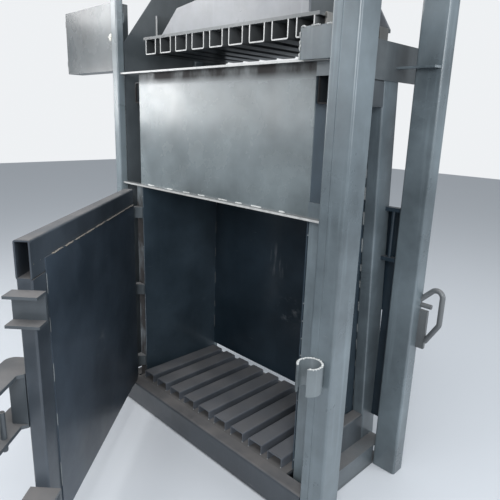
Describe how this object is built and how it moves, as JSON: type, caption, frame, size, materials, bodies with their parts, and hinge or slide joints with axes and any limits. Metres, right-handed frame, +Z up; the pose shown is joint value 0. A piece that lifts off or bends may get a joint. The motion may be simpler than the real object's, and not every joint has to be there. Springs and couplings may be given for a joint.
{
  "type": "recycling baler",
  "caption": "Vertical recycling baler with a dark grey welded frame, an open chamber door, a ribbed platen under a crosshead cylinder and a power pack on top",
  "frame": {"origin": "on the floor plane under the middle of the frame: half way between the inner faces of the posts and half way between the front and rear post faces", "axes": "+X runs to the right seen from the front, +Y runs from the front to the back, +Z runs up; the door is on the -Y side"},
  "size_m": [2.133, 1.8042, 3.45],
  "materials": {
    "frame_paint": "glossy dark slate grey, a little worn",
    "gloss_paint": "glossy dark slate grey",
    "inner_paint": "dark slate grey, scuffed",
    "dusty_paint": "dark grey under brown dust",
    "bare_steel": "oiled bare steel",
    "rod_chrome": "polished",
    "motor_paint": "blue grey enamel",
    "green_plastic": "glossy green",
    "black_plastic": "glossy black",
    "red_plastic": "glossy red"
  },
  "bodies": {
    "frame": {"front_post_right": "frame_paint", "left_upright": "frame_paint", "rear_posts": "frame_paint", "sill_beam": "frame_paint", "base_beams": "frame_paint", "floor_joists": "frame_paint", "floor_plate": "dusty_paint", "floor_ribs": "dusty_paint", "side_wall_sheets": "inner_paint", "back_wall_sheet": "inner_paint", "back_wall_ribs": "frame_paint", "front_stiles": "frame_paint", "rear_stiles": "frame_paint", "side_rails": "frame_paint", "upper_panel": "gloss_paint", "ledge_plates": "frame_paint", "tie_plates": "frame_paint", "rear_corner_plates": "inner_paint", "keeper_hook": "frame_paint", "side_guards": "inner_paint", "feed_bracket": "frame_paint", "rear_handle": "frame_paint", "control_cabinet": "gloss_paint", "cabinet_gear": "bare_steel", "cabinet_brackets": "frame_paint", "crosshead_ends": "frame_paint", "crosshead_beams": "frame_paint", "cylinder_plate": "frame_paint", "cylinder_barrel": "frame_paint", "cylinder_gland": "bare_steel", "flange_bolts": "bare_steel", "hinge_brackets": "frame_paint", "hinge_pins": "bare_steel", "oil_tank": "frame_paint", "pump_motor": "motor_paint", "valve_block": "bare_steel", "oil_pipes": "bare_steel"},
    "door": {"door_rails": "frame_paint", "door_stiles": "frame_paint", "door_skin": "inner_paint", "door_stop_lugs": "frame_paint", "door_hinge_barrels": "bare_steel", "latch_plates": "frame_paint"},
    "latch": {"latch_shaft": "bare_steel", "latch_handle": "bare_steel"},
    "platen": {"piston": "bare_steel", "piston_rod": "rod_chrome", "rod_socket": "frame_paint", "rod_pin": "bare_steel", "platen_plate": "frame_paint", "platen_ribs": "frame_paint", "platen_beams": "frame_paint", "platen_cross_ribs": "frame_paint", "platen_guides": "bare_steel"},
    "cabinet_lid": {"cabinet_door": "gloss_paint"},
    "lock": {"cabinet_lock": "bare_steel"},
    "start": {"start_button": "green_plastic"},
    "stop": {"stop_button": "black_plastic"},
    "emergency": {"emergency_button": "red_plastic"}
  },
  "joints": [
    {"name": "door_hinge", "type": "hinge", "parent": "frame", "child": "door", "pos_m": [-0.558, -0.286, 0.64], "axis": [0, 0, 1], "range_deg": [-130, 47.26]},
    {"name": "latch_turn", "type": "hinge", "parent": "door", "child": "latch", "pos_m": [0.24554, -1.24545, 0.64], "axis": [0, 0, 1], "range_deg": [-90, 0]},
    {"name": "platen_slide", "type": "slide", "parent": "frame", "child": "platen", "axis": [0, 0, -1], "range_m": [-0.15, 0.8]},
    {"name": "cabinet_door_hinge", "type": "hinge", "parent": "frame", "child": "cabinet_lid", "pos_m": [-1.269, -0.191, 1.867], "axis": [0, 0, 1], "range_deg": [-110, 0]},
    {"name": "cabinet_lock_turn", "type": "hinge", "parent": "cabinet_lid", "child": "lock", "pos_m": [-0.782, -0.2, 1.8675], "axis": [0, 1, 0], "range_deg": [-90, 0]},
    {"name": "start_press", "type": "slide", "parent": "frame", "child": "start", "axis": [1, 0, 0], "range_m": [0, 0.004], "stiffness_N_per_m": 800},
    {"name": "stop_press", "type": "slide", "parent": "frame", "child": "stop", "axis": [1, 0, 0], "range_m": [0, 0.004], "stiffness_N_per_m": 800},
    {"name": "emergency_press", "type": "slide", "parent": "frame", "child": "emergency", "axis": [1, 0, 0], "range_m": [0, 0.004], "stiffness_N_per_m": 800}
  ]
}
